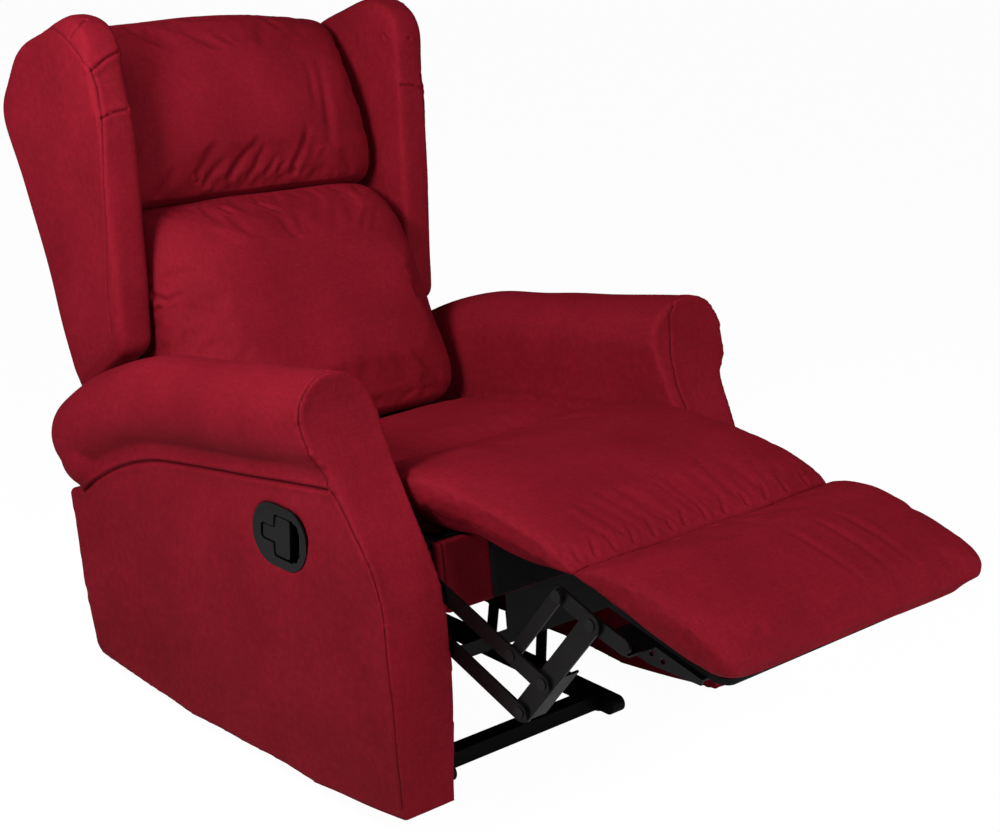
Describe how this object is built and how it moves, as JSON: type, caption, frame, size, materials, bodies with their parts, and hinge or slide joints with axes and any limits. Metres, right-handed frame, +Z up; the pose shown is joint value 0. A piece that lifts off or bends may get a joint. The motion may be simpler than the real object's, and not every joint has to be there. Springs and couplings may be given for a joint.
{
  "type": "wing-back recliner armchair",
  "caption": "Wing-back reclining armchair with rolled arms, split back cushions and a fold-out footrest on a riveted steel link mechanism",
  "frame": {"origin": "middle of the open chair's footprint on the floor", "axes": "+X is the sitter's left, -Y is the front where the footrest points, +Z is up; modelled open, with the back reclined and the footrest out"},
  "size_m": [0.777, 1.4617, 1.0066],
  "materials": {
    "upholstery": "woven crimson furniture fabric with a soft sheen",
    "timber": "plain plywood and softwood frame",
    "plastic": "satin black moulded plastic",
    "bumper": "black rubber stop",
    "fastener_steel": "black oxide steel rivets and oiled spring wire",
    "frame_steel": "satin black painted pressed steel"
  },
  "bodies": {
    "base": {"base_rail_left": "frame_steel", "base_rail_right": "frame_steel", "base_front_bar": "frame_steel", "base_rear_bar": "frame_steel", "rail_plugs": "plastic", "floor_glides": "plastic", "base_upright_left": "frame_steel", "base_upright_right": "frame_steel", "stop_bumpers": "bumper"},
    "seat_body": {"side_plate_left": "frame_steel", "side_plate_right": "frame_steel", "pivot_pins": "fastener_steel", "rear_cross_tube": "frame_steel", "front_cross_angle": "frame_steel", "seat_frame": "timber", "seat_springs": "fastener_steel", "arm_board_left": "timber", "arm_board_right": "timber", "arm_panel_left": "upholstery", "arm_panel_right": "upholstery", "arm_pad_left": "upholstery", "arm_pad_right": "upholstery", "arm_facing_left": "upholstery", "arm_facing_right": "upholstery", "handle_bezel": "plastic", "front_apron": "upholstery", "rear_panel": "upholstery", "seat_cushion": "upholstery", "chaise_pad_rear": "upholstery", "crease_cord": "upholstery"},
    "paddle": {"handle_paddle": "plastic"},
    "flap": {"chaise_pad_front": "upholstery"},
    "footrest": {"footrest_cushion": "upholstery", "footrest_board": "timber", "footrest_bracket_left": "frame_steel", "footrest_bracket_right": "frame_steel"},
    "drive_links": {"drive_link_left": "frame_steel", "drive_link_right": "frame_steel", "drive_tube": "frame_steel", "knee_rivets": "fastener_steel"},
    "crank_links": {"crank_link_left": "frame_steel", "crank_link_right": "frame_steel", "crank_rivets": "fastener_steel"},
    "cross_links": {"cross_link_left": "frame_steel", "cross_link_right": "frame_steel", "cross_rivets": "fastener_steel"},
    "guide_links": {"guide_link_left": "frame_steel", "guide_link_right": "frame_steel", "guide_rivets": "fastener_steel"},
    "tie_links": {"tie_link_left": "frame_steel", "tie_link_right": "frame_steel", "tie_rivets": "fastener_steel"},
    "backrest": {"back_frame": "timber", "back_bracket_left": "frame_steel", "back_bracket_right": "frame_steel", "back_shell": "upholstery", "wing_left": "upholstery", "wing_right": "upholstery", "head_cushion": "upholstery", "lumbar_cushion": "upholstery"}
  },
  "joints": [
    {"name": "body_tilt", "type": "hinge", "parent": "base", "child": "seat_body", "pos_m": [0, -0.00934, 0.106], "axis": [1, 0, 0], "range_deg": [0, 4.5]},
    {"name": "back_recline", "type": "hinge", "parent": "seat_body", "child": "backrest", "pos_m": [0, 0.31928, 0.25781], "axis": [1, 0, 0], "range_deg": [0, 9]},
    {"name": "tie_swing", "type": "hinge", "parent": "base", "child": "tie_links", "pos_m": [0, 0.08836, 0.2473], "axis": [1, 0, 0], "range_deg": [0, 6.66]},
    {"name": "footrest_swing", "type": "hinge", "parent": "seat_body", "child": "crank_links", "pos_m": [0, -0.24648, 0.34839], "axis": [1, 0, 0], "range_deg": [0, 74.6]},
    {"name": "drive_swing", "type": "hinge", "parent": "seat_body", "child": "drive_links", "pos_m": [0, -0.20864, 0.29554], "axis": [1, 0, 0], "range_deg": [0, 74.6]},
    {"name": "cross_pivot", "type": "hinge", "parent": "crank_links", "child": "cross_links", "pos_m": [0, -0.4556, 0.28004], "axis": [1, 0, 0], "range_deg": [-74.6, 0]},
    {"name": "guide_pivot", "type": "hinge", "parent": "crank_links", "child": "guide_links", "pos_m": [0, -0.39857, 0.29868], "axis": [1, 0, 0], "range_deg": [-74.6, 0]},
    {"name": "footrest_pivot", "type": "hinge", "parent": "cross_links", "child": "footrest", "pos_m": [0, -0.52836, 0.38168], "axis": [1, 0, 0], "range_deg": [0, 74.6]},
    {"name": "flap_fold", "type": "hinge", "parent": "seat_body", "child": "flap", "pos_m": [0, -0.31929, 0.44999], "axis": [1, 0, 0], "range_deg": [0, 74.65]},
    {"name": "handle_pull", "type": "hinge", "parent": "seat_body", "child": "paddle", "pos_m": [-0.3485, -0.02636, 0.38336], "axis": [0, -0.007, -1], "range_deg": [0, 25], "stiffness_Nm_per_rad": 0.3}
  ],
  "couplings": [
    {"joint": "back_recline", "follows": "body_tilt", "ratio": 2},
    {"joint": "tie_swing", "follows": "body_tilt", "ratio": 1.4755},
    {"joint": "drive_swing", "follows": "footrest_swing", "ratio": 1},
    {"joint": "cross_pivot", "follows": "footrest_swing", "ratio": -1},
    {"joint": "guide_pivot", "follows": "footrest_swing", "ratio": -1},
    {"joint": "footrest_pivot", "follows": "footrest_swing", "ratio": 1},
    {"joint": "flap_fold", "follows": "footrest_swing", "ratio": 1.0004}
  ]
}
